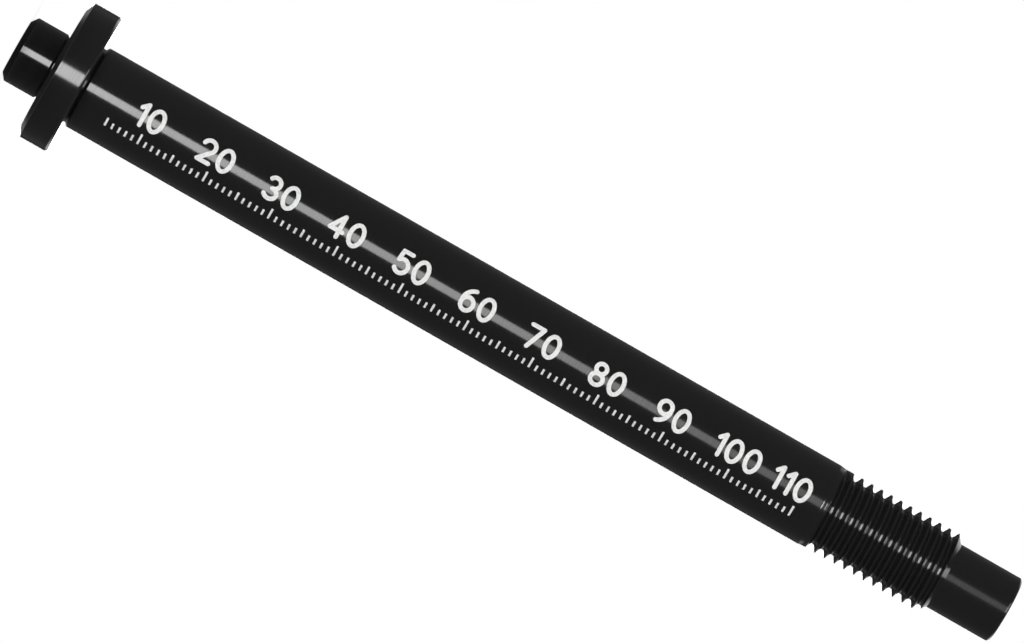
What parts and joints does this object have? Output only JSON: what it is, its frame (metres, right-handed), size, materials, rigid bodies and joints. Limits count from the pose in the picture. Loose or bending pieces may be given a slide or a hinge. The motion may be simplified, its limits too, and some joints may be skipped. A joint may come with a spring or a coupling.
{
  "type": "bicycle thru axle",
  "caption": "Black anodised aluminium bicycle thru axle, 12 mm, with a flange, a keyed head, a threaded end and a pilot nose",
  "frame": {"origin": "centre of the head's end face, on the axle's axis", "axes": "+Z along the axle from the head to the threaded end; X and Y are across it, with the key socket's corners on X"},
  "size_m": [0.0206, 0.0204, 0.1524],
  "materials": {
    "anodised_aluminium": "black anodised, fine turned"
  },
  "bodies": {
    "root": {"thru_axle": "anodised_aluminium"}
  },
  "joints": []
}
